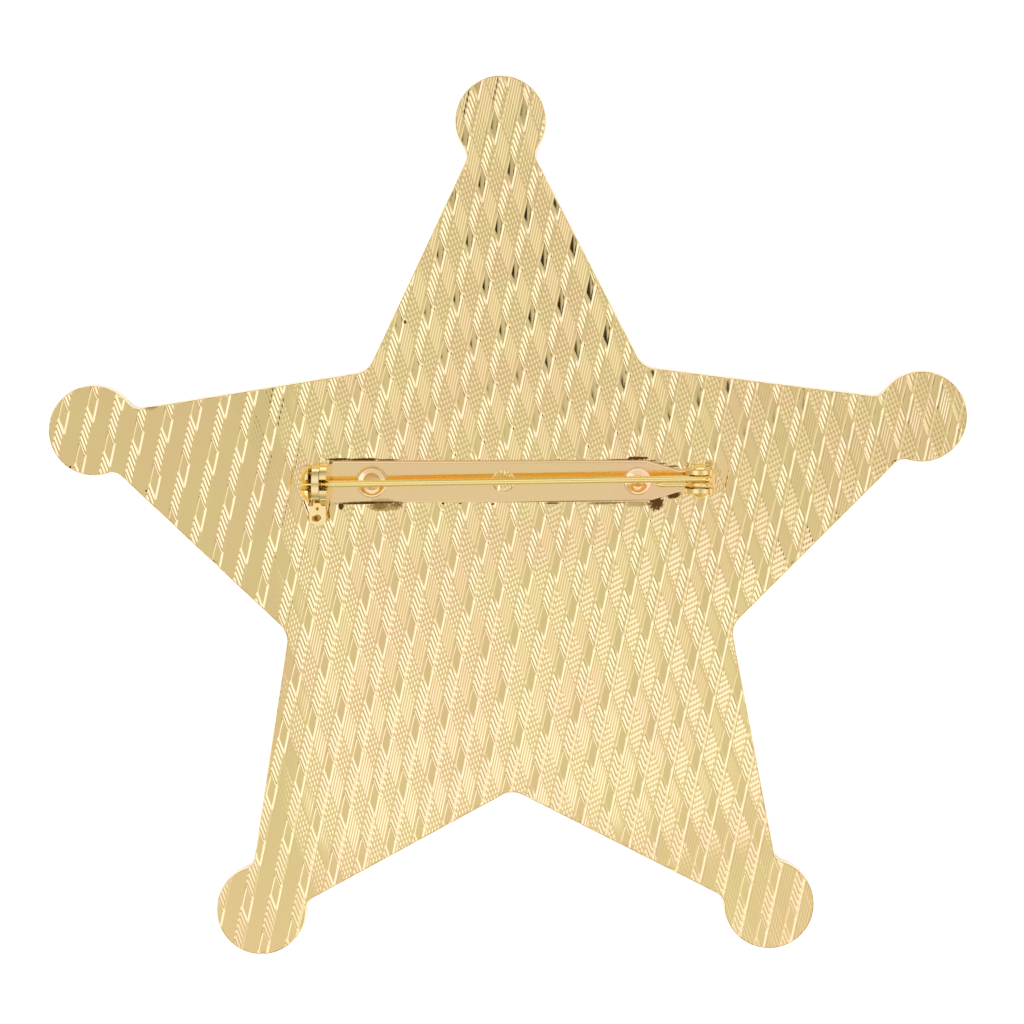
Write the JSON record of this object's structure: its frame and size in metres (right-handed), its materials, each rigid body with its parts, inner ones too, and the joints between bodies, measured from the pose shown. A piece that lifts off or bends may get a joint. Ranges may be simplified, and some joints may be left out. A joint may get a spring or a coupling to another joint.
{
  "type": "star badge",
  "caption": "Star badge with ball tips, seen from its back: soldered pin bar, hinged spring pin and turning safety catch.",
  "frame": {"origin": "the star's centre, on its front face", "axes": "+X to the right and +Y up the top arm as the back is seen with the pin across the upper half, +Z out of the back, so the front faces -Z and rests on the surface"},
  "size_m": [0.0762, 0.0729, 0.005],
  "materials": {
    "gold_plate": "gold coloured, pressed fine lattice on the back",
    "gold_plate_rivet": "gold coloured, polished",
    "gold_wire": "gold coloured, drawn and polished",
    "gold_wire_tail": "gold coloured, drawn and polished",
    "gold_catch": "pale gold colour, polished"
  },
  "bodies": {
    "badge": {"star_and_pin_bar": "gold_plate", "hinge_rivet": "gold_plate_rivet", "spring_tail": "gold_wire_tail"},
    "pin": {"pin_stem": "gold_wire"},
    "catch": {"catch_lever": "gold_catch"}
  },
  "joints": [
    {"name": "pin_open", "type": "hinge", "parent": "badge", "child": "pin", "pos_m": [0.01593, 0.00618, 0.0031], "axis": [0.014, 0.9999, 0], "range_deg": [0, 80]},
    {"name": "catch_turn", "type": "hinge", "parent": "badge", "child": "catch", "pos_m": [-0.01562, 0.00647, 0.0034], "axis": [-0.9999, 0.014, 0], "range_deg": [0, 72]}
  ]
}
